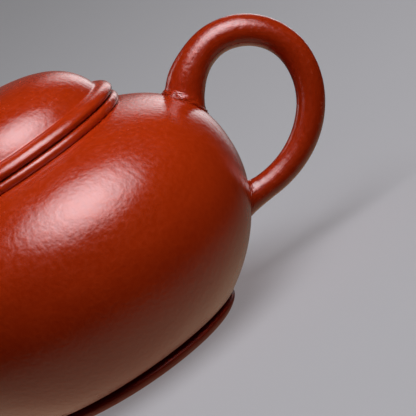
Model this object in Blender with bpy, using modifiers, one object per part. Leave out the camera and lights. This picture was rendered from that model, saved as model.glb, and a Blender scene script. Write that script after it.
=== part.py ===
"""A round red-clay teapot, built the way a potter luts it together.

The pot is a beaten wall closed by a base disc and a shoulder slab, with a foot
ring, a mouth ring, a handle, a spout and a pierced strainer.  The lid is a
domed slab with a rim bead, a locating flange and a knob, and it lifts out.

Frame: metres, +Z up, origin on the turning axis at the height of the foot's
resting face, handle towards +X and spout towards -X.
"""
import math

import bmesh
import bpy
from mathutils import Vector

# ---------------------------------------------------------------- dimensions
# Every length below is in millimetres, and MM turns it into metres.
MM = 0.001
GAP = 0.3                 # slip joint left open between luted pieces
SEGMENTS = 40             # facets round every large turned piece

BELLY_RADIUS = 50.0       # widest part of the belly
WIDEST_Z = 33.9           # its height above the table
UPPER_RISE = 29.0         # belly above the widest line, a superellipse quarter
UPPER_POWER = 2.44
LOWER_DROP = 39.0         # belly below the widest line, almost a true ellipse
LOWER_POWER = 1.97
WALL = 2.8                # clay thickness of belly, shoulder and base

SHOULDER_SEAM_R = 41.0    # where the shoulder slab closes the beaten wall
BASE_SEAM_R = 34.3        # where the wall stands on the base disc
BASE_EDGE_R = 32.0        # crisp lower edge of the base disc

FOOT_HEIGHT = 3.1
FOOT_OUTER_R = 30.3
FOOT_TREAD_R = 28.2       # outer edge of the resting face
FOOT_INNER_R = 24.4

MOUTH_R = 26.4            # clear opening of the pot
MOUTH_BEAD_R = 32.9
MOUTH_BEAD_HEIGHT = 2.2

LID_BEAD_R = 32.8
LID_BEAD_HEIGHT = 3.3
DOME_R = 30.4             # superellipse that the lid's crown follows
DOME_RISE = 19.8
DOME_POWER = 2.73
DOME_EDGE_R = 29.4        # radius of the crease between crown and rim bead
DOME_WALL = 2.6
FLANGE_OUTER_R = 25.9
FLANGE_WALL = 2.6
FLANGE_DEPTH = 9.0

KNOB_R = 8.8
KNOB_HEIGHT = 9.6
KNOB_NECK_R = 5.2
VENT_R = 1.2              # air hole through knob and crown

HANDLE_TOP_CENTRE = (60.0, 41.3)   # (x, z) centre of the handle's upper arc
HANDLE_TOP_R = 15.45
HANDLE_LOW_CENTRE = (50.5, 41.3)   # centre of the ellipse it runs down into
HANDLE_LOW_SEMI = (24.95, 22.4)
HANDLE_ROOT_ANGLE = 158.0          # where the arc enters the shoulder, degrees
HANDLE_RADII = (4.8, 4.05, 3.8, 3.6, 3.45)   # upper root to lower root

SPOUT_ROOT = (-41.0, 27.0)         # (x, z) ends and tangent points of the spout
SPOUT_ROOT_PULL = (-62.0, 31.5)
SPOUT_TIP_PULL = (-67.5, 45.5)
SPOUT_TIP = (-74.37, 60.0)
SPOUT_OUTER = (12.0, 5.4)          # radius at the root and at the lip
SPOUT_BORE = (8.2, 3.8)

STRAINER_Z = 28.0
STRAINER_R = 7.3
STRAINER_THICKNESS = 1.8
STRAINER_SETBACK = 1.2             # how far inside mid-wall the disc sits
STRAINER_HOLE_R = 1.15
STRAINER_RING_R = 4.4              # circle that six of the seven holes sit on


# ------------------------------------------------------------- scene helpers
def clear_scene():
    for old in list(bpy.data.objects):
        bpy.data.objects.remove(old, do_unlink=True)


def new_collection(name):
    collection = bpy.data.collections.new(name)
    bpy.context.scene.collection.children.link(collection)
    return collection


def clay(name, color, roughness):
    material = bpy.data.materials.new(name)
    material.use_nodes = True
    shader = material.node_tree.nodes["Principled BSDF"]
    shader.inputs["Base Color"].default_value = (*color, 1.0)
    shader.inputs["Roughness"].default_value = roughness
    shader.inputs["Metallic"].default_value = 0.0
    return material


def add_object(name, mesh, collection, material=None):
    piece = bpy.data.objects.new(name, mesh)
    if material is not None:
        mesh.materials.append(material)
    collection.objects.link(piece)
    return piece


def as_cutter(piece):
    piece.hide_render = True
    piece.display_type = "WIRE"
    return piece


def subtract(piece, cutter):
    cut = piece.modifiers.new("cut_" + cutter.name, "BOOLEAN")
    cut.operation = "DIFFERENCE"
    cut.solver = "EXACT"
    cut.object = cutter


# ------------------------------------------------------------ shape builders
def turned(name, profile, collection, material=None, closed=True, segments=SEGMENTS):
    """Screws an (r, z) outline round Z; it runs down the outside and up the inside."""
    verts = [(r * MM, 0.0, z * MM) for r, z in profile]
    edges = [(i, i + 1) for i in range(len(verts) - 1)]
    if closed:
        edges.append((len(verts) - 1, 0))
    mesh = bpy.data.meshes.new(name)
    mesh.from_pydata(verts, edges, [])
    piece = add_object(name, mesh, collection, material)
    screw = piece.modifiers.new("turn", "SCREW")
    screw.axis = "Z"
    screw.angle = math.tau
    screw.steps = segments
    screw.render_steps = segments
    screw.use_merge_vertices = True
    screw.merge_threshold = 0.00001
    screw.use_smooth_shade = True
    return piece


def tube(name, path, radii, sides_level, collection, material=None):
    """A capped round tube along (x, z) points, turned into a welded mesh."""
    curve = bpy.data.curves.new(name + "_path", "CURVE")
    curve.dimensions = "3D"
    curve.bevel_depth = MM
    curve.bevel_resolution = sides_level
    curve.use_fill_caps = True
    spline = curve.splines.new("POLY")
    spline.points.add(len(path) - 1)
    for point, (x, z), radius in zip(spline.points, path, radii):
        point.co = (x * MM, 0.0, z * MM, 1.0)
        point.radius = radius
    guide = bpy.data.objects.new(name + "_path", curve)
    collection.objects.link(guide)
    bpy.context.view_layer.update()
    depsgraph = bpy.context.evaluated_depsgraph_get()
    mesh = bpy.data.meshes.new_from_object(guide.evaluated_get(depsgraph))
    mesh.name = name
    welded = bmesh.new()
    welded.from_mesh(mesh)
    bmesh.ops.remove_doubles(welded, verts=welded.verts, dist=0.00001)
    bmesh.ops.recalc_face_normals(welded, faces=welded.faces)
    welded.to_mesh(mesh)
    welded.free()
    piece = add_object(name, mesh, collection, material)
    piece.matrix_world = guide.matrix_world
    bpy.data.objects.remove(guide, do_unlink=True)
    mesh.shade_smooth()
    return piece


def cylinder(name, radius, length, centre, axis, collection, material=None, sides=24):
    """A capped cylinder of the given length, centred on a point and laid along an axis."""
    mesh = bpy.data.meshes.new(name)
    solid = bmesh.new()
    bmesh.ops.create_cone(solid, cap_ends=True, segments=sides, radius1=radius * MM,
                          radius2=radius * MM, depth=length * MM)
    solid.to_mesh(mesh)
    solid.free()
    piece = add_object(name, mesh, collection, material)
    piece.location = Vector(centre) * MM
    piece.rotation_euler = Vector(axis).to_track_quat("Z", "Y").to_euler()
    return piece


# ------------------------------------------------------------------ outlines
def belly_angle(radius, upper):
    """Superellipse angle, in radians, at which the belly has this radius."""
    power = UPPER_POWER if upper else LOWER_POWER
    angle = math.acos((radius / BELLY_RADIUS) ** (power / 2.0))
    return angle if upper else -angle


def belly_point(angle, offset=0.0):
    """Point of the belly's outer curve, moved along its outward normal."""
    rise, power, side = LOWER_DROP, LOWER_POWER, -1.0
    if angle >= 0.0:
        rise, power, side = UPPER_RISE, UPPER_POWER, 1.0
    across = max(math.cos(angle), 0.0) ** (2.0 / power)
    along = abs(math.sin(angle)) ** (2.0 / power)
    normal = Vector((across ** (power - 1.0) / BELLY_RADIUS,
                     side * along ** (power - 1.0) / rise)).normalized()
    r = BELLY_RADIUS * across + offset * normal.x
    z = WIDEST_Z + side * rise * along + offset * normal.y
    return r, z


def belly_curve(start_angle, end_angle, count, offset=0.0):
    step = (end_angle - start_angle) / (count - 1)
    return [belly_point(start_angle + i * step, offset) for i in range(count)]


def dome_point(angle, offset=0.0):
    """Lid crown from its centre (angle 0) to its spring line (90 degrees), in lid heights."""
    across = math.sin(angle) ** (2.0 / DOME_POWER)
    along = math.cos(angle) ** (2.0 / DOME_POWER)
    normal = Vector((across ** (DOME_POWER - 1.0) / DOME_R,
                     along ** (DOME_POWER - 1.0) / DOME_RISE)).normalized()
    r = DOME_R * across + offset * normal.x
    z = DOME_BASE_Z + DOME_RISE * along + offset * normal.y
    return r, z


def dome_angle(radius):
    return math.asin((radius / DOME_R) ** (DOME_POWER / 2.0))


def arc(centre, semi, start, end, count):
    """Points of an elliptic arc, angles in degrees."""
    points = []
    for i in range(count):
        angle = math.radians(start + (end - start) * i / (count - 1))
        points.append((centre[0] + semi[0] * math.cos(angle),
                       centre[1] + semi[1] * math.sin(angle)))
    return points


def bezier(p0, p1, p2, p3, count):
    points = []
    for i in range(count):
        t = i / (count - 1)
        u = 1.0 - t
        points.append(tuple(u ** 3 * a + 3 * u * u * t * b + 3 * u * t * t * c + t ** 3 * d
                            for a, b, c, d in zip(p0, p1, p2, p3)))
    return points


def blend_radii(stops, count):
    """Radii eased smoothly through equally spaced stops."""
    radii = []
    for i in range(count):
        place = i / (count - 1) * (len(stops) - 1)
        left = min(int(place), len(stops) - 2)
        t = place - left
        radii.append(stops[left] + (stops[left + 1] - stops[left]) * t * t * (3 - 2 * t))
    return radii


# -------------------------------------------------------------- worked sizes
SHOULDER_SEAM_ANGLE = belly_angle(SHOULDER_SEAM_R, True)
BASE_SEAM_ANGLE = belly_angle(BASE_SEAM_R, False)
BASE_EDGE_ANGLE = belly_angle(BASE_EDGE_R, False)
NECK_ANGLE = belly_angle(MOUTH_BEAD_R, True)
SHOULDER_TOP_Z = belly_point(NECK_ANGLE)[1]
MOUTH_BASE_Z = SHOULDER_TOP_Z + GAP
MOUTH_TOP_Z = MOUTH_BASE_Z + MOUTH_BEAD_HEIGHT
SEAT_Z = MOUTH_TOP_Z + GAP          # underside of the lid's rim bead
DOME_BASE_Z = LID_BEAD_HEIGHT + GAP - DOME_RISE * (
    1.0 - (DOME_EDGE_R / DOME_R) ** DOME_POWER) ** (1.0 / DOME_POWER)
SEAM_ARC = GAP / BELLY_RADIUS       # half a slip joint, as an angle at the belly


# ----------------------------------------------------------------- the pot
def make_body_wall(collection, material):
    top = SHOULDER_SEAM_ANGLE - SEAM_ARC
    bottom = BASE_SEAM_ANGLE
    outside = belly_curve(top, bottom, 15)
    inside = belly_curve(bottom + 0.04, top, 13, -WALL)
    inside[0] = (inside[0][0], outside[-1][1])
    return turned("body_wall", outside + inside, collection, material)


def make_shoulder(collection, material):
    seam = SHOULDER_SEAM_ANGLE + SEAM_ARC
    outside = [(MOUTH_R, SHOULDER_TOP_Z)] + belly_curve(NECK_ANGLE, seam, 5)
    inside = belly_curve(seam, NECK_ANGLE, 4, -WALL)
    lip = (MOUTH_R, inside[-1][1])
    return turned("shoulder", outside + inside + [lip], collection, material)


def make_base_disc(collection, material):
    top_z = belly_point(BASE_SEAM_ANGLE)[1] - GAP
    underside_z = FOOT_HEIGHT + GAP
    rim = belly_curve(BASE_SEAM_ANGLE - 0.012, BASE_EDGE_ANGLE, 3)
    rim[0] = (rim[0][0], top_z)
    outline = [(0.0, top_z)] + rim + [(FOOT_OUTER_R, underside_z + 0.25),
                                      (FOOT_OUTER_R - 1.0, underside_z), (0.0, underside_z)]
    return turned("base_disc", outline, collection, material, closed=False)


def make_foot_ring(collection, material):
    outside = [(FOOT_OUTER_R - 1.1, FOOT_HEIGHT),
               (FOOT_OUTER_R - 0.3, FOOT_HEIGHT - 0.35),
               (FOOT_OUTER_R, FOOT_HEIGHT - 1.1),
               (FOOT_OUTER_R - 0.5, FOOT_HEIGHT - 2.0),
               (FOOT_TREAD_R + 0.3, 0.25),
               (FOOT_TREAD_R, 0.0)]
    inside = [(FOOT_INNER_R + 0.5, 0.0), (FOOT_INNER_R, 0.5), (FOOT_INNER_R, FOOT_HEIGHT)]
    return turned("foot_ring", outside + inside, collection, material)


def make_mouth_ring(collection, material):
    middle_z = MOUTH_BASE_Z + MOUTH_BEAD_HEIGHT / 2
    bead = arc((MOUTH_BEAD_R - 1.1, middle_z), (1.1, MOUTH_BEAD_HEIGHT / 2), 90, -90, 7)
    inside = [(MOUTH_R, MOUTH_BASE_Z), (MOUTH_R, MOUTH_TOP_Z - 0.4), (MOUTH_R + 0.4, MOUTH_TOP_Z)]
    return turned("mouth_ring", bead + inside, collection, material)


def make_belly_cutter(cutters):
    """The whole belly as one solid, one slip joint larger than the clay."""
    top = NECK_ANGLE
    bottom = BASE_EDGE_ANGLE
    curve = belly_curve(top, bottom, 24, GAP)
    outline = [(0.0, curve[0][1])] + curve + [(0.0, curve[-1][1])]
    return as_cutter(turned("belly_cutter", outline, cutters, closed=False))


def make_handle(collection, cutters_belly, material):
    upper = arc(HANDLE_TOP_CENTRE, (HANDLE_TOP_R, HANDLE_TOP_R), HANDLE_ROOT_ANGLE, 0, 17)
    lower = arc(HANDLE_LOW_CENTRE, HANDLE_LOW_SEMI, 0, -90, 12)
    path = upper + lower[1:] + [(HANDLE_LOW_CENTRE[0] - 6.0, lower[-1][1])]
    handle = tube("handle", path, blend_radii(HANDLE_RADII, len(path)), 4, collection, material)
    subtract(handle, cutters_belly)
    return handle


def make_spout(collection, cutters, cutters_belly, material):
    count = 13
    path = bezier(SPOUT_ROOT, SPOUT_ROOT_PULL, SPOUT_TIP_PULL, SPOUT_TIP, count)
    taper = [(1.0 - i / (count - 1)) ** 1.35 for i in range(count)]
    outer = [SPOUT_OUTER[1] + (SPOUT_OUTER[0] - SPOUT_OUTER[1]) * t for t in taper]
    inner = [SPOUT_BORE[1] + (SPOUT_BORE[0] - SPOUT_BORE[1]) * t for t in taper]
    spout = tube("spout", path, outer, 6, collection, material)
    end = Vector(path[-1])
    past_lip = end + (end - Vector(path[-2])).normalized() * 3.0
    bore_path = path + [(past_lip.x, past_lip.y)]
    bore = as_cutter(tube("spout_bore", bore_path, inner + [inner[-1]], 6, cutters))
    subtract(spout, cutters_belly)
    subtract(spout, bore)
    return spout


def make_strainer(collection, cutters, wall, material):
    """A pierced clay disc set in the wall, and the round opening it sits in."""
    wall_x = -belly_point(-0.2)[0]
    opening = as_cutter(cylinder("spout_opening", STRAINER_R + GAP, 30.0,
                                 (wall_x, 0.0, STRAINER_Z), (1, 0, 0), cutters))
    subtract(wall, opening)
    face_x = wall_x + WALL / 2 + STRAINER_SETBACK
    disc = cylinder("strainer", STRAINER_R, STRAINER_THICKNESS,
                    (face_x, 0.0, STRAINER_Z), (1, 0, 0), collection, material)
    for i in range(7):
        ring = STRAINER_RING_R if i < 6 else 0.0
        turn = math.radians(60 * i)
        centre = (face_x, ring * math.cos(turn), STRAINER_Z + ring * math.sin(turn))
        hole = as_cutter(cylinder(f"strainer_hole_{i + 1}", STRAINER_HOLE_R, 8.0,
                                  centre, (1, 0, 0), cutters, sides=8))
        subtract(disc, hole)
    return disc


# ----------------------------------------------------------------- the lid
def make_lid_bead(collection, material):
    """Rim bead of the lid; heights here are measured from the seat."""
    outside = [(DOME_EDGE_R, LID_BEAD_HEIGHT),
               (LID_BEAD_R - 1.5, LID_BEAD_HEIGHT - 0.4),
               (LID_BEAD_R - 0.5, LID_BEAD_HEIGHT - 1.1),
               (LID_BEAD_R, LID_BEAD_HEIGHT - 2.1),
               (LID_BEAD_R - 0.4, 0.35),
               (LID_BEAD_R - 1.0, 0.0)]
    inner_r = FLANGE_OUTER_R - FLANGE_WALL
    inside = [(inner_r, 0.0), (inner_r, LID_BEAD_HEIGHT)]
    return turned("lid_bead", outside + inside, collection, material)


def make_lid_dome(collection, material):
    edge = dome_angle(DOME_EDGE_R)
    start = dome_angle(VENT_R)
    count = 11
    outside = [dome_point(start + (edge - start) * i / (count - 1)) for i in range(count)]
    foot_z = outside[-1][1]
    inner_edge = edge * 0.9
    inside = [dome_point(inner_edge + (start - inner_edge) * i / 8, -DOME_WALL) for i in range(9)]
    foot = (inside[0][0], foot_z)
    inside[-1] = (VENT_R, inside[-1][1])
    return turned("lid_dome", outside + [foot] + inside[1:], collection, material)


def make_lid_flange(collection, material):
    top = -GAP
    bottom = -FLANGE_DEPTH
    inner_r = FLANGE_OUTER_R - FLANGE_WALL
    outline = [(FLANGE_OUTER_R, top), (FLANGE_OUTER_R, bottom + 0.8),
               (FLANGE_OUTER_R - 0.8, bottom), (inner_r, bottom), (inner_r, top)]
    return turned("lid_flange", outline, collection, material)


def make_knob(collection, material):
    """A flattened bead on a short neck, with the vent hole down its middle."""
    base_z = dome_point(dome_angle(KNOB_NECK_R))[1] + 0.15 + GAP
    bead_z = base_z + KNOB_HEIGHT * 0.56
    bead = arc((0.0, bead_z), (KNOB_R, KNOB_HEIGHT * 0.44), 82, -52, 11)
    outside = [(VENT_R, bead[0][1])] + bead + [(KNOB_NECK_R, base_z)]
    inside = [(VENT_R, base_z)]
    return turned("knob", outside + inside, collection, material, segments=28)


def main():
    clear_scene()
    pot = new_collection("red_clay_teapot")
    cutters = new_collection("cutters")
    red_clay = clay("red_clay", (0.42, 0.055, 0.014), 0.42)
    raw_clay = clay("unburnished_clay", (0.38, 0.07, 0.025), 0.7)

    belly = make_belly_cutter(cutters)
    wall = make_body_wall(pot, red_clay)
    make_shoulder(pot, red_clay)
    make_base_disc(pot, red_clay)
    make_foot_ring(pot, red_clay)
    make_mouth_ring(pot, red_clay)
    make_handle(pot, belly, red_clay)
    make_spout(pot, cutters, belly, red_clay)
    make_strainer(pot, cutters, wall, raw_clay)

    lid_axis = bpy.data.objects.new("lid_axis", None)
    lid_axis.location = (0.0, 0.0, SEAT_Z * MM)
    pot.objects.link(lid_axis)
    for make in (make_lid_bead, make_lid_dome, make_lid_flange, make_knob):
        make(pot, raw_clay if make is make_lid_flange else red_clay).parent = lid_axis


main()
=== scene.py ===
"""Looks for the round red-clay teapot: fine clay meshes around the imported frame."""
import math

import bpy
import numpy as np
from mathutils import Matrix, Vector


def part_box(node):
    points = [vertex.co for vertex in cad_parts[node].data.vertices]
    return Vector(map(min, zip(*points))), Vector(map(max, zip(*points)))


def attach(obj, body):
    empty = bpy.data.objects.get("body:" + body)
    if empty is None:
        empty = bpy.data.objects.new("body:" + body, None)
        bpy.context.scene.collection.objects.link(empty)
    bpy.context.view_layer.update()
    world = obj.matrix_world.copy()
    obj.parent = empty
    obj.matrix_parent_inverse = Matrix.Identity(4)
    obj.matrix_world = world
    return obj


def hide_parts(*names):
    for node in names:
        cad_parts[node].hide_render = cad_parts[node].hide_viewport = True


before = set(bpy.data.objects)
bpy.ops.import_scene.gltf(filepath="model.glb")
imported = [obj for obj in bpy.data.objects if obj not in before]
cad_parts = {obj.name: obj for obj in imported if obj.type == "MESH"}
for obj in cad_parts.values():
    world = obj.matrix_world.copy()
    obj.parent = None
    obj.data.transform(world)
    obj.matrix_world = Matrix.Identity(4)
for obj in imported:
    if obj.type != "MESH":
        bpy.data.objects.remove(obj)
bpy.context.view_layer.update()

MM = 0.001

# ------------------------------------------------- sizes read from the frame
BELLY_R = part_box("body_wall")[1].x
MOUTH_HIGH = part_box("mouth_ring")[1]
LID_LOW, LID_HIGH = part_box("lid_bead")
FLANGE_LOW, FLANGE_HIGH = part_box("lid_flange")
DOME_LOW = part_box("lid_dome")[0]
KNOB_LOW, KNOB_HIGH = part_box("knob")
FOOT_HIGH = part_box("foot_ring")[1]
STRAINER_LOW, STRAINER_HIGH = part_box("strainer")
STRAINER_R = (STRAINER_HIGH.z - STRAINER_LOW.z) / 2

# ------------------------------------------------------ shape of the outlines
WIDEST_Z = 33.9 * MM
UPPER_RISE, UPPER_POWER = 29.0 * MM, 2.44
LOWER_DROP, LOWER_POWER = 39.0 * MM, 1.97
WALL = 2.8 * MM
INSIDE_LIFT = 0.04        # radians along the belly, where the inside meets the base
SHOULDER_SEAM_R = 41.0 * MM
BASE_SEAM_R = 34.3 * MM
BASE_EDGE_R = 32.0 * MM
MOUTH_R = 26.4 * MM
MOUTH_BEAD_R = 1.15 * MM
FOOT_TREAD_R = 28.2 * MM
FOOT_INNER_R = 24.4 * MM
DOME_R, DOME_RISE, DOME_POWER = 30.4 * MM, 19.8 * MM, 2.73
DOME_EDGE_R = 29.4 * MM
DOME_WALL = 2.6 * MM
FLANGE_WALL = 2.6 * MM
VENT_R = 1.2 * MM
KNOB_NECK_R = 5.2 * MM
KNOB_BEAD_SHARE = 0.56    # height of the bead's middle, as a share of the knob
EASED_R = 0.5 * MM        # rounding of the lips and of the foot
AXIS_R = 0.01 * MM        # a disc ends just short of its axis

# steps of an outline in millimetres: inward from a radius, down from a height
BASE_TURN_IN = ((0.0, 0.0), (0.35, 0.3), (1.9, 0.55))
FOOT_STEPS = ((1.4, -0.2), (1.3, 0.2), (0.75, 0.5), (0.16, 0.78), (0.0, 1.2), (0.45, 1.95))
LID_GROOVE_STEPS = ((0.1, -0.75), (-0.15, -0.2), (-0.62, 0.04))
LID_BEAD_STEPS = ((1.95, 0.26), (1.15, 0.58), (0.42, 1.22), (0.02, 2.25), (0.4, 3.0))
LID_UNDER_STEPS = ((1.1, -0.02), (1.5, 0.0))

HANDLE_TOP_CENTRE = Vector((60.0, 41.3)) * MM
HANDLE_TOP_R = 15.45 * MM
HANDLE_LOW_CENTRE = Vector((50.5, 41.3)) * MM
HANDLE_LOW_SEMI = Vector((24.95, 22.4)) * MM
HANDLE_START, HANDLE_END = 141.0, -86.0   # degrees on the upper and lower arcs
HANDLE_RADII = [r * MM for r in (5.0, 4.1, 3.8, 3.6, 3.35)]
HANDLE_SHAVE = 0.6 * MM   # pared off the outside of the bend near the upper root
SHAVE_PLACE, SHAVE_SPREAD = 0.1, 0.08     # shares of the handle's length
SPOUT_PATH = [Vector(p) * MM for p in ((-41.0, 27.0), (-62.0, 31.5), (-67.5, 45.5), (-74.37, 60.0))]
SPOUT_OUTER = (12.0 * MM, 5.4 * MM)
SPOUT_BORE = (8.2 * MM, 3.8 * MM)
SPOUT_TAPER = 1.35
SPOUT_FLARE = 1.8 * MM
SPOUT_CLEAR, BORE_BURIED = 0.02, -0.05    # belly heights where the skin and the bore begin
LIP_FLATNESS = 0.8
STRAINER_SWELL = 0.5 * MM
HOLE_RING_R, HOLE_R, HOLE_COUNT = 4.4 * MM, 1.15 * MM, 6

# a luted joint: slip squeezed into a ridge, grit beside it, a fillet against the belly
SLIP_HEIGHT, SLIP_SPREAD, SLIP_WOBBLE = 0.45 * MM, 0.35 * MM, 0.6
GRIT_REACH, GRIT_SHARE, GRIT_LIMIT = 1.5 * MM, 0.7, 0.1 * MM
WAVES = range(3, 15)      # waves round the joint
FILLET_WIDTH, FILLET_HEIGHT = 0.3 * MM, 0.35 * MM
FLARE_POWER = 2.6
ROW_CROWDING = 1.6        # rows stand closer together towards the belly
ROOT_BURIED = 0.5 * MM

AROUND = 256              # columns round a turned piece, but for the next two
AROUND_KNOB = 160
AROUND_DISC = 96          # columns round the strainer and its opening
ROUND_TUBE = 72           # columns round the handle and spout
TURNED_CREASE = 32        # degrees between faces that make a sharp edge
TUBE_CREASE = 50


# ------------------------------------------------------------- mesh builders
def grid_faces(rows, columns, loop_rows):
    faces = []
    for i in range(rows if loop_rows else rows - 1):
        below = (i + 1) % rows
        for j in range(columns):
            right = (j + 1) % columns
            faces.append((i * columns + j, below * columns + j,
                          below * columns + right, i * columns + right))
    return faces


def mesh_object(name, points, faces, stroke, crease_degrees):
    """A smooth shaded mesh; stroke is the burnishing direction stored on each point."""
    mesh = bpy.data.meshes.new(name)
    mesh.from_pydata([tuple(p) for p in points], [], faces)
    attribute = mesh.attributes.new("stroke", "FLOAT_VECTOR", "POINT")
    attribute.data.foreach_set("vector", np.asarray(stroke, np.float32).ravel())
    mesh.shade_smooth()
    mesh.set_sharp_from_angle(angle=math.radians(crease_degrees))
    mesh.validate()
    piece = bpy.data.objects.new(name, mesh)
    bpy.context.scene.collection.objects.link(piece)
    return piece


def turned(name, profile, columns=AROUND):
    """Turns a closed (r, z) outline round Z; it runs down the outside and up the inside."""
    profile = np.asarray(profile, float)
    angles = np.linspace(0.0, math.tau, columns, endpoint=False)
    r, z = profile[:, 0:1], profile[:, 1:2]
    x, y = r * np.cos(angles), r * np.sin(angles)
    points = np.stack([x, y, z + 0 * x], 2).reshape(-1, 3)
    steps = np.linalg.norm(np.diff(profile, axis=0, prepend=profile[:1]), axis=1)
    along = np.cumsum(steps)[:, None] + 0 * x
    stroke = np.stack([BELLY_R * np.cos(angles) + 0 * x, BELLY_R * np.sin(angles) + 0 * x, along], 2)
    faces = grid_faces(len(profile), columns, True)
    return mesh_object(name, points, faces, stroke.reshape(-1, 3), TURNED_CREASE)


def arc(centre, semi, start, end, count):
    """Points of an elliptic arc, angles in degrees."""
    angles = np.radians(np.linspace(start, end, count))
    return [(centre[0] + semi[0] * math.cos(a), centre[1] + semi[1] * math.sin(a)) for a in angles]


def rounding(centre, radius, start, end, count):
    """Points of a round arc, angles in degrees."""
    return arc(centre, (radius, radius), start, end, count)


def steps_from(radius, height, steps):
    """Outline points from steps inward and down, in millimetres."""
    return [(radius - inward * MM, height - down * MM) for inward, down in steps]


def smooth_through(points, count):
    """A soft curve through a few points (centripetal Catmull-Rom)."""
    p = np.asarray(points, float)
    p = np.vstack([2 * p[0] - p[1], p, 2 * p[-1] - p[-2]])
    result = []
    for k in range(1, len(p) - 2):
        t = [0.0]
        for a, b in zip(p[k - 1:k + 2], p[k:k + 3]):
            t.append(t[-1] + max(np.linalg.norm(b - a), 1e-9) ** 0.5)
        for u in np.linspace(t[1], t[2], count, endpoint=False):
            a1 = (t[1] - u) / (t[1] - t[0]) * p[k - 1] + (u - t[0]) / (t[1] - t[0]) * p[k]
            a2 = (t[2] - u) / (t[2] - t[1]) * p[k] + (u - t[1]) / (t[2] - t[1]) * p[k + 1]
            a3 = (t[3] - u) / (t[3] - t[2]) * p[k + 1] + (u - t[2]) / (t[3] - t[2]) * p[k + 2]
            b1 = (t[2] - u) / (t[2] - t[0]) * a1 + (u - t[0]) / (t[2] - t[0]) * a2
            b2 = (t[3] - u) / (t[3] - t[1]) * a2 + (u - t[1]) / (t[3] - t[1]) * a3
            result.append((t[2] - u) / (t[2] - t[1]) * b1 + (u - t[1]) / (t[2] - t[1]) * b2)
    result.append(p[-2])
    return [tuple(q) for q in result]


# ------------------------------------------------------------ belly geometry
def belly_angle(radius, upper):
    power = UPPER_POWER if upper else LOWER_POWER
    angle = math.acos((radius / BELLY_R) ** (power / 2.0))
    return angle if upper else -angle


def belly_point(angle, offset=0.0):
    rise, power, side = LOWER_DROP, LOWER_POWER, -1.0
    if angle >= 0.0:
        rise, power, side = UPPER_RISE, UPPER_POWER, 1.0
    across = max(math.cos(angle), 0.0) ** (2.0 / power)
    along = abs(math.sin(angle)) ** (2.0 / power)
    normal = Vector((across ** (power - 1.0) / BELLY_R,
                     side * along ** (power - 1.0) / rise)).normalized()
    return (BELLY_R * across + offset * normal.x,
            WIDEST_Z + side * rise * along + offset * normal.y)


def belly_curve(start, end, count, offset=0.0):
    return [belly_point(a, offset) for a in np.linspace(start, end, count)]


def belly_height(points):
    """Below zero inside the belly's outer surface, above zero outside it."""
    r = np.hypot(points[..., 0], points[..., 1]) / BELLY_R
    up = np.clip(points[..., 2] - WIDEST_Z, 0.0, None) / UPPER_RISE
    down = np.clip(WIDEST_Z - points[..., 2], 0.0, None) / LOWER_DROP
    above = r ** UPPER_POWER + up ** UPPER_POWER - 1.0
    below = r ** LOWER_POWER + down ** LOWER_POWER - 1.0
    return np.where(points[..., 2] >= WIDEST_Z, above, below)


def belly_distance_along(points, direction, reach=0.03):
    """How far each point travels along a direction before it meets the belly."""
    near, far = np.zeros(len(points)), np.full(len(points), reach)
    for _ in range(40):
        middle = (near + far) / 2
        inside = belly_height(points + middle[:, None] * direction) < 0.0
        far = np.where(inside, middle, far)
        near = np.where(inside, near, middle)
    return (near + far) / 2


# ------------------------------------------------------------- dome geometry
DOME_EDGE_SHARE = (1.0 - (DOME_EDGE_R / DOME_R) ** DOME_POWER) ** (1.0 / DOME_POWER)
DOME_BASE_Z = DOME_LOW.z - DOME_RISE * DOME_EDGE_SHARE


def dome_angle(radius):
    return math.asin((radius / DOME_R) ** (DOME_POWER / 2.0))


def dome_point(angle, offset=0.0):
    across = math.sin(angle) ** (2.0 / DOME_POWER)
    along = math.cos(angle) ** (2.0 / DOME_POWER)
    normal = Vector((across ** (DOME_POWER - 1.0) / DOME_R,
                     along ** (DOME_POWER - 1.0) / DOME_RISE)).normalized()
    return (DOME_R * across + offset * normal.x,
            DOME_BASE_Z + DOME_RISE * along + offset * normal.y)


# ------------------------------------------------------------- turned pieces
SHOULDER_SEAM = belly_angle(SHOULDER_SEAM_R, True)
BASE_SEAM = belly_angle(BASE_SEAM_R, False)
BASE_EDGE = belly_angle(BASE_EDGE_R, False)
NECK = belly_angle(MOUTH_HIGH.x, True)
SHOULDER_TOP_Z = belly_point(NECK)[1]


def make_wall():
    outside = belly_curve(SHOULDER_SEAM, BASE_SEAM, 120)
    inside = belly_curve(BASE_SEAM + INSIDE_LIFT, SHOULDER_SEAM, 90, -WALL)
    inside[0] = (inside[0][0], outside[-1][1])
    return turned("belly_wall", outside + inside)


def make_shoulder():
    outside = belly_curve(NECK, SHOULDER_SEAM, 30)
    inside = belly_curve(SHOULDER_SEAM, NECK, 20, -WALL)
    lip = rounding((MOUTH_R + EASED_R, inside[-1][1] + EASED_R), EASED_R, 270, 180, 6)
    return turned("shoulder_slab", outside + inside + lip + [(MOUTH_R, SHOULDER_TOP_Z)])


def make_base():
    """The floor of the pot; its edge turns in under the belly to meet the foot."""
    top_z = belly_point(BASE_SEAM)[1]
    edge_r, edge_z = belly_point(BASE_EDGE)
    under_z = FOOT_HIGH.z + 0.2 * MM
    rim = belly_curve(BASE_SEAM, BASE_EDGE, 8)
    turn_in = smooth_through(steps_from(edge_r, edge_z, BASE_TURN_IN)
                             + [(edge_r - 3.1 * MM, under_z + 0.05 * MM)], 5)
    under = [(edge_r - 3.4 * MM, under_z), (AXIS_R, under_z)]
    return turned("base_disc_clay", [(AXIS_R, top_z)] + rim + turn_in[1:] + under)


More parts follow.
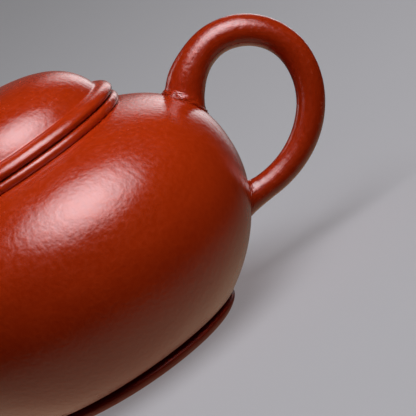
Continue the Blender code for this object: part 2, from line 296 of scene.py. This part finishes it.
def make_foot():
    top, outer = FOOT_HIGH.z, FOOT_HIGH.x
    tread = [(FOOT_TREAD_R + 0.4 * MM, 0.18 * MM), (FOOT_TREAD_R, 0.0)]
    outside = smooth_through(steps_from(outer, top, FOOT_STEPS) + tread, 6)
    inside = [(FOOT_INNER_R + EASED_R, 0.0)]
    inside += rounding((FOOT_INNER_R + EASED_R, EASED_R), EASED_R, 260, 180, 6)
    return turned("foot_ring_clay", outside + inside + [(FOOT_INNER_R, top + 0.2 * MM)])


def make_mouth():
    outer, low, high = MOUTH_HIGH.x, SHOULDER_TOP_Z + 0.02 * MM, MOUTH_HIGH.z
    half = (high - low) / 2
    bead = arc((outer - MOUTH_BEAD_R, low + half), (MOUTH_BEAD_R, half), 90, -90, 25)
    lip = rounding((MOUTH_R + EASED_R, high - EASED_R), EASED_R, 180, 90, 6)
    return turned("mouth_bead", bead + [(MOUTH_R, low)] + lip)


def make_lid_bead():
    outer, low, high = LID_HIGH.x, LID_LOW.z - 0.1 * MM, LID_HIGH.z
    outside = smooth_through(steps_from(DOME_EDGE_R, high, LID_GROOVE_STEPS)
                             + steps_from(outer, high, LID_BEAD_STEPS)
                             + steps_from(outer, low, LID_UNDER_STEPS), 7)
    inner = FLANGE_HIGH.x - FLANGE_WALL
    return turned("lid_rim_bead", outside + [(inner, low), (inner, high + 0.7 * MM)])


def make_dome():
    edge, vent = dome_angle(DOME_EDGE_R), dome_angle(VENT_R)
    outside = [dome_point(a) for a in np.linspace(vent, edge, 90)]
    inside = [dome_point(a, -DOME_WALL) for a in np.linspace(edge * 0.9, vent, 60)]
    foot = [(outside[-1][0], LID_HIGH.z), (inside[0][0], LID_HIGH.z)]
    inside[-1] = (VENT_R, inside[-1][1])
    return turned("lid_crown", outside + foot + inside)


def make_flange():
    outer, low, high = FLANGE_HIGH.x, FLANGE_LOW.z, FLANGE_HIGH.z + 0.3 * MM
    inner = outer - FLANGE_WALL
    outer_ease, inner_ease = 0.8 * MM, 0.6 * MM
    foot = rounding((outer - outer_ease, low + outer_ease), outer_ease, 0, -90, 8)
    foot += rounding((inner + inner_ease, low + inner_ease), inner_ease, -90, -180, 6)
    return turned("lid_flange_clay", [(outer, high)] + foot + [(inner, high)])


def make_knob():
    """A flattened bead on a short neck, with the vent running down its axis."""
    low, widest = KNOB_LOW.z, KNOB_HIGH.x
    height = KNOB_HIGH.z - low
    bead_centre = (0.0, low + height * KNOB_BEAD_SHARE)
    bead = arc(bead_centre, (widest, height * (1.0 - KNOB_BEAD_SHARE)), 80, -50, 40)
    seat_r, seat_z = dome_point(dome_angle(KNOB_NECK_R + 0.9 * MM))
    neck = smooth_through([bead[-1], (KNOB_NECK_R - 0.1 * MM, low + 0.75 * MM),
                           (KNOB_NECK_R + 0.15 * MM, low + 0.1 * MM), (seat_r, seat_z - 0.02 * MM)], 8)
    ease = 0.35 * MM
    vent = rounding((VENT_R + ease, bead[0][1] - ease), ease, 180, 95, 6)
    return turned("knob_clay", vent + bead + neck[1:] + [(VENT_R, seat_z - 0.1 * MM)], AROUND_KNOB)


# ---------------------------------------------------- handle, spout, strainer
def tube_rings(path, radii):
    """Rings of points along an (x, z) path, with each ring's outward and forward directions."""
    path = np.asarray(path, float)
    centre = np.stack([path[:, 0], np.zeros(len(path)), path[:, 1]], 1)
    tangent = np.gradient(centre, axis=0)
    tangent /= np.linalg.norm(tangent, axis=1)[:, None]
    side = np.cross(np.array([0.0, 1.0, 0.0]), tangent)
    turn = np.linspace(0.0, math.tau, ROUND_TUBE, endpoint=False)
    out = (side[:, None] * np.cos(turn)[None, :, None]
           + np.array([0.0, 1.0, 0.0]) * np.sin(turn)[None, :, None])
    return centre[:, None] + out * np.asarray(radii)[:, None, None], out, tangent


def slow_waves(random, turn):
    """An unevenness round a joint, made of a few waves."""
    waves = (random.normal() * np.cos(k * turn + random.uniform(0.0, math.tau)) for k in WAVES)
    return sum(waves) / 4.0


def luted_root(ring, out, inward, flare, ridge=0.0, seed=0, steps=30):
    """Carries a ring on to the belly, widening smoothly and ending in a small ridge of slip."""
    random = np.random.default_rng(seed)
    turn = np.linspace(0.0, math.tau, len(ring), endpoint=False)
    wobble = slow_waves(random, turn)
    rough = random.normal(size=(steps, len(ring)))
    rough = (rough + np.roll(rough, 1, 1) + np.roll(rough, -1, 1)) / 1.7
    reach = belly_distance_along(ring + flare[:, None] * out, inward)
    rows = []
    for share in 1.0 - (1.0 - np.linspace(0.0, 1.0, steps + 1)[1:]) ** ROW_CROWDING:
        left = (1.0 - share) * reach
        slip = ridge * (1.0 + SLIP_WOBBLE * wobble) * np.exp(-((left - SLIP_HEIGHT) / SLIP_SPREAD) ** 2)
        coarseness = min(ridge * GRIT_SHARE, GRIT_LIMIT)
        grit = rough[len(rows)] * np.exp(-(left / GRIT_REACH) ** 2) * coarseness
        closeness = np.clip(1.0 - left / FILLET_HEIGHT, 0.0, 1.0)
        fillet = FILLET_WIDTH * (1.0 - np.sqrt(1.0 - closeness ** 2))
        wider = flare * share ** FLARE_POWER + slip + grit + fillet
        rows.append(ring + wider[:, None] * out + (reach - left)[:, None] * inward)
    return rows + [rows[-1] + ROOT_BURIED * inward]


def handle_path():
    upper = arc(HANDLE_TOP_CENTRE, (HANDLE_TOP_R, HANDLE_TOP_R), HANDLE_START, 0, 90)
    lower = arc(HANDLE_LOW_CENTRE, HANDLE_LOW_SEMI, 0, HANDLE_END, 70)
    return upper + lower[1:]


def eased(stops, count):
    """Radii eased smoothly through equally spaced stops."""
    where = np.linspace(0.0, len(stops) - 1, count)
    left = np.minimum(where.astype(int), len(stops) - 2)
    t = where - left
    stops = np.asarray(stops)
    return stops[left] + (stops[left + 1] - stops[left]) * t * t * (3 - 2 * t)


def strokes_along(rows):
    """Burnishing strokes that run along a tube instead of round it."""
    count, columns = rows.shape[:2]
    middles = rows.mean(1)
    length = np.cumsum(np.linalg.norm(np.diff(middles, axis=0, prepend=middles[:1]), axis=1))
    turn = np.linspace(0.0, math.tau, columns, endpoint=False)
    wide, narrow = 50.0 * MM, 4.0 * MM
    return np.stack([np.repeat(length[:, None], columns, 1), np.tile(wide * np.cos(turn), (count, 1)),
                     np.tile(narrow * np.sin(turn), (count, 1))], 2)


def cap_tube(name, rows):
    """Closes both ends of a tube of rings with a fan."""
    count, columns = rows.shape[:2]
    points = rows.reshape(-1, 3)
    first, last = len(points), len(points) + 1
    faces = [tuple(reversed(f)) for f in grid_faces(count, columns, False)]
    for j in range(columns):
        right = (j + 1) % columns
        faces.append((first, j, right))
        faces.append((last, (count - 1) * columns + right, (count - 1) * columns + j))
    stroke = strokes_along(rows).reshape(-1, 3)
    points = np.vstack([points, rows[0].mean(0), rows[-1].mean(0)])
    stroke = np.vstack([stroke, stroke[0], stroke[-1]])
    return mesh_object(name, points, faces, stroke, TUBE_CREASE)


def make_handle():
    """The ear handle, pared outside near its upper root and luted on at both ends."""
    path = handle_path()
    rings, out, tangent = tube_rings(path, eased(HANDLE_RADII, len(path)))
    turn = np.linspace(0.0, math.tau, ROUND_TUBE, endpoint=False)
    inner_side = 0.5 + 0.5 * np.cos(turn)
    share = np.linspace(0.0, 1.0, len(path))
    shaved = HANDLE_SHAVE * np.exp(-((share - SHAVE_PLACE) / SHAVE_SPREAD) ** 2)
    rings -= out * (shaved[:, None] * (1.0 - inner_side) ** 2)[:, :, None]
    top = luted_root(rings[0], out[0], -tangent[0], (0.7 + 0.5 * inner_side) * MM,
                     ridge=0.15 * MM, seed=5)
    low = luted_root(rings[-1], out[-1], tangent[-1], (0.5 + 0.2 * inner_side) * MM,
                     ridge=0.12 * MM, seed=6)
    rows = np.concatenate([np.array(top[::-1]), rings, np.array(low)])
    return cap_tube("ear_handle", rows)


def bezier(points, count):
    t = np.linspace(0.0, 1.0, count)[:, None]
    a, b, c, d = (np.array(p) for p in points)
    return (1 - t) ** 3 * a + 3 * (1 - t) ** 2 * t * b + 3 * (1 - t) * t * t * c + t ** 3 * d


def first_above(rings, limit):
    """The number of the first ring that lies above a belly height all round."""
    return next(i for i, ring in enumerate(rings) if belly_height(ring).min() > limit)


def spout_lip(middle, out, forward, outer, bore):
    """Rings that roll over from the outside of the spout's tip into its bore."""
    half = (outer - bore) / 2
    rings = []
    for turn in np.radians(np.linspace(0, 180, 13))[1:-1]:
        centre = middle + forward * half * math.sin(turn) * LIP_FLATNESS
        rings.append(centre + out * ((outer + bore) / 2 + half * math.cos(turn)))
    return rings


def make_spout():
    """The hollow spout: out along its skin, over the lip and back down the bore."""
    count = 80
    path = bezier(SPOUT_PATH, count)
    taper = (1.0 - np.linspace(0.0, 1.0, count)) ** SPOUT_TAPER
    outer = SPOUT_OUTER[1] + (SPOUT_OUTER[0] - SPOUT_OUTER[1]) * taper
    bore = SPOUT_BORE[1] + (SPOUT_BORE[0] - SPOUT_BORE[1]) * taper
    rings, out, tangent = tube_rings(path, outer)
    inner_rings = tube_rings(path, bore)[0]
    clear = first_above(rings, SPOUT_CLEAR)
    bore_start = first_above(inner_rings, BORE_BURIED)
    root = luted_root(rings[clear], out[clear], -tangent[clear], np.full(ROUND_TUBE, SPOUT_FLARE))
    lip = spout_lip(rings[-1].mean(0), out[-1], tangent[-1], outer[-1], bore[-1])
    rows = np.concatenate([np.array(root[::-1]), rings[clear + 1:], np.array(lip),
                           inner_rings[bore_start:][::-1]])
    faces = [tuple(reversed(f)) for f in grid_faces(len(rows), ROUND_TUBE, True)]
    stroke = strokes_along(rows).reshape(-1, 3)
    return mesh_object("spout_clay", rows.reshape(-1, 3), faces, stroke, TUBE_CREASE)


def cylinder_cutter(name, centre, radius, length, sides):
    bpy.ops.mesh.primitive_cylinder_add(vertices=sides, radius=radius, depth=length, location=centre,
                                        rotation=(0.0, math.pi / 2, 0.0))
    cutter = bpy.context.object
    cutter.name = name
    return cutter


def cut_and_apply(piece, cutters):
    """Cuts a piece with temporary solids and keeps only the resulting mesh."""
    for cutter in cutters:
        cut = piece.modifiers.new("cut", "BOOLEAN")
        cut.operation = "DIFFERENCE"
        cut.solver = "EXACT"
        cut.object = cutter
    depsgraph = bpy.context.evaluated_depsgraph_get()
    result = bpy.data.meshes.new_from_object(piece.evaluated_get(depsgraph))
    piece.modifiers.clear()
    piece.data = result
    for cutter in cutters:
        bpy.data.objects.remove(cutter, do_unlink=True)
    return piece


def make_pierced_wall():
    """The belly wall with the opening that the strainer fills."""
    wall = make_wall()
    centre = (STRAINER_LOW.x, 0.0, (STRAINER_LOW.z + STRAINER_HIGH.z) / 2)
    opening = cylinder_cutter("opening", centre, STRAINER_R + 0.28 * MM, 30 * MM, AROUND_DISC)
    return cut_and_apply(wall, [opening])


def make_strainer():
    """A gently domed disc pierced with a ring of holes round a middle one."""
    middle = (STRAINER_LOW + STRAINER_HIGH) / 2
    rows = 12
    radius = STRAINER_R + 0.25 * MM
    half = (STRAINER_HIGH.x - STRAINER_LOW.x) / 2
    face = [(radius * k / rows, half + STRAINER_SWELL * (1 - (k / rows) ** 2)) for k in range(rows + 1)]
    back = [(r, h - 2 * half) for r, h in reversed(face)]
    profile = [(max(r, AXIS_R), h - STRAINER_SWELL) for r, h in face + back]
    disc = turned("strainer_clay", profile, AROUND_DISC)
    disc.data.transform(Matrix.Translation(middle) @ Matrix.Rotation(math.pi / 2, 4, "Y"))
    spots = [(HOLE_RING_R, math.tau * i / HOLE_COUNT) for i in range(HOLE_COUNT)] + [(0.0, 0.0)]
    holes = []
    for ring, turn in spots:
        centre = (middle.x, ring * math.cos(turn), middle.z + ring * math.sin(turn))
        holes.append(cylinder_cutter("hole", centre, HOLE_R, 8 * MM, 28))
    return cut_and_apply(disc, holes)


# ----------------------------------------------------------------------- clay
MIX_UNDER, MIX_OVER, MIX_RESULT = 6, 7, 2  # colour sockets of a Mix node
STROKE_STRETCH = (120.0, 120.0, 1500.0)   # strokes are long and very thin
CLOUD_SCALE, MOTTLE_SCALE, FINE_SCALE = 55.0, 850.0, 2500.0
CLOUD_BUMP, MOTTLE_BUMP, STROKE_BUMP, FINE_BUMP = 0.3 * MM, 0.043 * MM, 0.02 * MM, 0.004 * MM
NOISE_LOW, NOISE_HIGH = 0.3, 0.7          # nearly all of a noise lies between these
SPECK_LOW, SPECK_HIGH = 0.66, 0.78        # only the peaks of the fine noise are specks
SPECK_SHADE = (0.55, 0.6, 0.6)
CLAY_IOR = 1.5


def clay_material(name, light, dark, roughness, grain, gloss=0.5):
    """Fired red clay: cloudy colour, fine grain, burnishing strokes, soft sheen."""
    material = bpy.data.materials.new(name)
    material.use_nodes = True
    tree = material.node_tree
    shader = tree.nodes["Principled BSDF"]
    link = tree.links.new

    def node(kind, **values):
        made = tree.nodes.new(kind)
        for key, value in values.items():
            setattr(made, key, value)
        return made

    def noise(vector, scale, detail, rough=0.5):
        made = node("ShaderNodeTexNoise")
        made.inputs["Scale"].default_value = scale
        made.inputs["Detail"].default_value = detail
        made.inputs["Roughness"].default_value = rough
        link(vector, made.inputs["Vector"])
        return made.outputs["Fac"]

    def span(value, to_low, to_high, low=NOISE_LOW, high=NOISE_HIGH):
        made = node("ShaderNodeMapRange")
        made.inputs["From Min"].default_value = low
        made.inputs["From Max"].default_value = high
        made.inputs["To Min"].default_value = to_low
        made.inputs["To Max"].default_value = to_high
        link(value, made.inputs["Value"])
        return made.outputs["Result"]

    def add(first, second):
        made = node("ShaderNodeMath", operation="ADD")
        for socket, value in zip(made.inputs, (first, second)):
            if isinstance(value, float):
                socket.default_value = value
            else:
                link(value, socket)
        return made.outputs[0]

    position = node("ShaderNodeTexCoord").outputs["Object"]
    stroke_in = node("ShaderNodeAttribute", attribute_name="stroke").outputs["Vector"]
    stretch = node("ShaderNodeMapping")
    stretch.inputs["Scale"].default_value = STROKE_STRETCH
    link(stroke_in, stretch.inputs["Vector"])
    strokes = noise(stretch.outputs["Vector"], 1.0, 1.5)
    clouds = noise(position, CLOUD_SCALE, 3.0)
    mottle = noise(position, MOTTLE_SCALE, 1.0)
    fine = noise(position, FINE_SCALE, 2.0, 0.6)

    colour = node("ShaderNodeMix", data_type="RGBA")
    colour.inputs[MIX_UNDER].default_value = (*dark, 1.0)
    colour.inputs[MIX_OVER].default_value = (*light, 1.0)
    link(add(span(clouds, 0.0, 0.55), span(mottle, 0.0, 0.45)), colour.inputs[0])
    specks = node("ShaderNodeMix", data_type="RGBA")
    specks.inputs[MIX_OVER].default_value = (*(tone * shade for tone, shade in zip(dark, SPECK_SHADE)), 1.0)
    link(span(fine, 0.0, 0.5, SPECK_LOW, SPECK_HIGH), specks.inputs[0])
    link(colour.outputs[MIX_RESULT], specks.inputs[MIX_UNDER])
    link(specks.outputs[MIX_RESULT], shader.inputs["Base Color"])

    sheen_breaks = add(span(mottle, -0.05, 0.05), span(strokes, -0.04, 0.04))
    link(add(sheen_breaks, roughness), shader.inputs["Roughness"])
    shader.inputs["IOR"].default_value = CLAY_IOR
    shader.inputs["Specular IOR Level"].default_value = gloss

    normal = None
    for height, distance in ((clouds, CLOUD_BUMP), (mottle, MOTTLE_BUMP * grain),
                             (strokes, STROKE_BUMP * grain), (fine, FINE_BUMP * grain)):
        bump = node("ShaderNodeBump")
        bump.inputs["Strength"].default_value = 1.0
        bump.inputs["Distance"].default_value = distance
        link(height, bump.inputs["Height"])
        if normal is not None:
            link(normal, bump.inputs["Normal"])
        normal = bump.outputs["Normal"]
    link(normal, shader.inputs["Normal"])
    return material


RED = clay_material("burnished_red_clay", light=(0.46, 0.034, 0.0024), dark=(0.38, 0.023, 0.0014),
                    roughness=0.20, grain=1.6)
# Painted shade: the handle is the body's clay painted darker, standing in for the lesser light that falls
# on it.
HANDLE = clay_material("handle_red_clay_painted_shade", light=(0.375, 0.026, 0.0018), dark=(0.30, 0.017, 0.0010),
                       roughness=0.21, grain=2.0)
# Painted shade: the foot ring is the same clay painted darker, for the contact shade of the floor close
# beneath it; its low gloss keeps pale reflections off it.
FOOT = clay_material("foot_red_clay_painted_contact_shade", light=(0.31, 0.020, 0.003), dark=(0.24, 0.013, 0.002),
                     roughness=0.5, grain=1.6, gloss=0.12)
RAW = clay_material("unburnished_red_clay", light=(0.42, 0.040, 0.010), dark=(0.32, 0.028, 0.007),
                    roughness=0.6, grain=2.4)


# -------------------------------------------------------- pieces on the frame
def place(piece, material, slot, body, *nodes):
    piece.data.materials.clear()
    piece.data.materials.append(material)
    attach(piece, body)
    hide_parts(*nodes)


place(make_pierced_wall(), RED, "red_clay", "pot", "body_wall")
place(make_shoulder(), RED, "red_clay", "pot", "shoulder")
place(make_base(), RED, "red_clay", "pot", "base_disc")
place(make_foot(), FOOT, "red_clay", "pot", "foot_ring")
place(make_mouth(), RED, "red_clay", "pot", "mouth_ring")
place(make_handle(), HANDLE, "red_clay", "pot", "handle")
place(make_spout(), RED, "red_clay", "pot", "spout")
place(make_strainer(), RAW, "unburnished_clay", "pot", "strainer")
place(make_lid_bead(), RED, "red_clay", "lid", "lid_bead")
place(make_dome(), RED, "red_clay", "lid", "lid_dome")
place(make_flange(), RAW, "unburnished_clay", "lid", "lid_flange")
place(make_knob(), RED, "red_clay", "lid", "knob")


# ---------------------------------------------------------------------- floor
FLOOR_R = 4.0
FLOOR_TONES = ((0.42, 0.415, 0.44, 1.0), (0.45, 0.445, 0.47, 1.0))
FLOOR_CLOUD_SCALE = 6.0
FLOOR_ROUGHNESS = 0.85
FLOOR_GLOW = 0.20         # lifts the shadow under the pot as an overcast room would
FLOOR_GLOW_TONE = (0.97, 0.96, 1.0, 1.0)


def floor_material():
    """A plain pale floor with the faintest clouding."""
    material = bpy.data.materials.new("pale_floor")
    material.use_nodes = True
    tree = material.node_tree
    shader = tree.nodes["Principled BSDF"]
    shader.inputs["Roughness"].default_value = FLOOR_ROUGHNESS
    shader.inputs["Specular IOR Level"].default_value = 0.0
    shader.inputs["Emission Color"].default_value = FLOOR_GLOW_TONE
    shader.inputs["Emission Strength"].default_value = FLOOR_GLOW
    blend = tree.nodes.new("ShaderNodeMix")
    blend.data_type = "RGBA"
    blend.inputs[MIX_UNDER].default_value, blend.inputs[MIX_OVER].default_value = FLOOR_TONES
    clouds = tree.nodes.new("ShaderNodeTexNoise")
    clouds.inputs["Scale"].default_value = FLOOR_CLOUD_SCALE
    position = tree.nodes.new("ShaderNodeTexCoord")
    tree.links.new(position.outputs["Object"], clouds.inputs["Vector"])
    tree.links.new(clouds.outputs["Fac"], blend.inputs[0])
    tree.links.new(blend.outputs[MIX_RESULT], shader.inputs["Base Color"])
    return material


def make_floor():
    """The floor is seen by the camera but not in reflections."""
    bpy.ops.mesh.primitive_circle_add(vertices=128, radius=FLOOR_R, fill_type="NGON")
    floor = bpy.context.object
    floor.name = "floor"
    floor.data.materials.append(floor_material())
    floor.visible_glossy = False
    floor.visible_diffuse = False
    floor.visible_shadow = False
    return floor


# ---------------------------------------------------------------------- light
ROOM_TONE = (0.008, 0.006, 0.004, 1.0)
WALL_TONE = (0.10, 0.09, 0.085, 1.0)
PALE_TONE = (0.58, 0.44, 0.30, 1.0)
WALL_SIDE, WALL_REACH = (0.06, 0.98, -0.18), (0.75, 1.0)
PALE_SIDE, PALE_REACH = (-0.13, 0.33, -0.93), (0.42, 0.96)
LIGHT_AIM = Vector((0.0, 0.0, 0.035))
KEY_SIDE = (0.33, -0.45, 0.83)
KEY_SPREAD = 110          # degrees
SHEEN_SIDE = (0.33, -0.50, 0.79)
BACK_SIDE = (0.46, 0.86, 0.20)
EDGE_SIDE = (-0.53, 0.67, 0.53)
EDGE_TURN = 31.5          # degrees about its own axis
OVERHEAD_SIDE = (0.15, -0.35, 1.0)
REAR_SIDE = (-0.10, 0.90, 0.40)


def softbox(name, side, distance, width, height, power, tone):
    """A rectangular studio light that looks at the pot from one side."""
    data = bpy.data.lights.new(name, "AREA")
    data.shape = "RECTANGLE"
    data.size, data.size_y = width, height
    data.energy = power
    data.color = tone
    lamp = bpy.data.objects.new(name, data)
    back = Vector(side).normalized()
    lamp.location = LIGHT_AIM + back * distance
    lamp.rotation_euler = (-back).to_track_quat("-Z", "Y").to_euler()
    lamp.visible_camera = False
    bpy.context.scene.collection.objects.link(lamp)
    return lamp


def light_only(lamp, name, piece, choice):
    """Lets a light reach one piece only, or everything but that piece."""
    group = bpy.data.collections.new(name)
    group.objects.link(piece)
    group.collection_objects[0].light_linking.link_state = choice
    lamp.light_linking.receiver_collection = group


def soften_edges(lamp, core):
    """Fades a softbox from a bright core to nothing at its rim."""
    lamp.data.use_nodes = True
    tree = lamp.data.node_tree
    spot = tree.nodes.new("ShaderNodeNewGeometry").outputs["Parametric"]
    reach = tree.nodes.new("ShaderNodeVectorMath")
    reach.operation = "DISTANCE"
    reach.inputs[1].default_value = (0.5, 0.5, 0.0)
    flat = tree.nodes.new("ShaderNodeVectorMath")
    flat.operation = "MULTIPLY"
    flat.inputs[1].default_value = (1.0, 1.0, 0.0)
    fade = tree.nodes.new("ShaderNodeMapRange")
    fade.interpolation_type = "SMOOTHSTEP"
    fade.inputs["From Min"].default_value = 0.5
    fade.inputs["From Max"].default_value = 0.5 * core
    tree.links.new(spot, flat.inputs[0])
    tree.links.new(flat.outputs["Vector"], reach.inputs[0])
    tree.links.new(reach.outputs["Value"], fade.inputs["Value"])
    tree.links.new(fade.outputs["Result"], tree.nodes["Emission"].inputs["Strength"])


def make_lights(floor):
    """Key for the clay's colour, sheen for its highlight, rims, far side, and the floor's own."""
    key = softbox("key_softbox", KEY_SIDE, distance=0.75, width=0.72, height=0.72,
                  power=3.05, tone=(1.0, 0.98, 0.97))
    key.data.spread = math.radians(KEY_SPREAD)
    key.visible_glossy = False
    sheen = softbox("key_sheen", SHEEN_SIDE, distance=0.74, width=1.21, height=1.31,
                    power=55.5, tone=(1.0, 0.99, 1.05))
    sheen.visible_diffuse = False
    soften_edges(sheen, core=0.05)
    back = softbox("back_softbox", BACK_SIDE, distance=0.8, width=0.50, height=0.84,
                   power=3.1, tone=(1.0, 0.98, 1.0))
    back.visible_diffuse = False
    soften_edges(back, core=0.0)
    edge = softbox("edge_strip", EDGE_SIDE, distance=0.8, width=0.16, height=0.62,
                   power=0.7, tone=(1.0, 0.93, 0.95))
    edge.rotation_euler.rotate_axis("Z", math.radians(EDGE_TURN))
    edge.visible_diffuse = False
    overhead = softbox("floor_fill", OVERHEAD_SIDE, distance=1.1, width=1.0, height=1.0,
                       power=7.6, tone=(0.98, 0.975, 1.0))
    rear = softbox("rear_fill", REAR_SIDE, distance=1.2, width=0.8, height=0.8,
                   power=1.6, tone=(1.0, 0.97, 0.95))
    rear.visible_glossy = False
    light_only(rear, "rear_reach", floor, "EXCLUDE")
    light_only(overhead, "floor_only", floor, "INCLUDE")
    light_only(key, "all_but_floor", floor, "EXCLUDE")


def studio_world():
    """A dark room with a paler wall behind and pale surroundings below on the far side."""
    world = bpy.data.worlds.new("studio")
    world.use_nodes = True
    tree = world.node_tree
    link = tree.links.new
    direction = tree.nodes.new("ShaderNodeTexCoord").outputs["Generated"]

    def facing(axis, reach):
        dot = tree.nodes.new("ShaderNodeVectorMath")
        dot.operation = "DOT_PRODUCT"
        dot.inputs[1].default_value = axis
        link(direction, dot.inputs[0])
        ease = tree.nodes.new("ShaderNodeMapRange")
        ease.interpolation_type = "SMOOTHSTEP"
        ease.inputs["From Min"].default_value, ease.inputs["From Max"].default_value = reach
        link(dot.outputs["Value"], ease.inputs["Value"])
        return ease.outputs["Result"]

    def blend(share, under, over):
        mix = tree.nodes.new("ShaderNodeMix")
        mix.data_type = "RGBA"
        link(share, mix.inputs[0])
        for socket, value in ((mix.inputs[MIX_UNDER], under), (mix.inputs[MIX_OVER], over)):
            if isinstance(value, tuple):
                socket.default_value = value
            else:
                link(value, socket)
        return mix.outputs[MIX_RESULT]

    wall = blend(facing(WALL_SIDE, WALL_REACH), ROOM_TONE, WALL_TONE)
    surroundings = blend(facing(PALE_SIDE, PALE_REACH), wall, PALE_TONE)
    link(surroundings, tree.nodes["Background"].inputs["Color"])
    bpy.context.scene.world = world


# --------------------------------------------------------------------- camera
CAMERA_ELEVATION = 12.36  # degrees, as are the pan, tilt and roll
CAMERA_PAN = -3.333
CAMERA_TILT = 2.016
CAMERA_ROLL = 33.99
CAMERA_DISTANCE = 0.62543
CAMERA_LENS, CAMERA_SENSOR = 216.0, 36.0


def make_camera():
    """Looks along +Y from above, turned off the pot's axis and rolled."""
    elevation = math.radians(CAMERA_ELEVATION)
    data = bpy.data.cameras.new("camera")
    data.lens = CAMERA_LENS
    data.sensor_width = CAMERA_SENSOR
    data.clip_start, data.clip_end = 0.01, 20.0
    camera = bpy.data.objects.new("camera", data)
    back = Vector((0.0, -math.cos(elevation), math.sin(elevation)))
    level = Matrix.Rotation(math.pi / 2 - elevation, 4, "X")
    pan = Matrix.Rotation(math.radians(CAMERA_PAN), 4, "Y")
    tilt = Matrix.Rotation(math.radians(CAMERA_TILT), 4, "X")
    roll = Matrix.Rotation(math.radians(-CAMERA_ROLL), 4, "Z")
    camera.matrix_world = Matrix.Translation(back * CAMERA_DISTANCE) @ level @ pan @ tilt @ roll
    bpy.context.scene.collection.objects.link(camera)
    bpy.context.scene.camera = camera


make_lights(make_floor())
studio_world()
make_camera()
bpy.context.scene.view_settings.view_transform = "Standard"

bpy.context.view_layer.update()
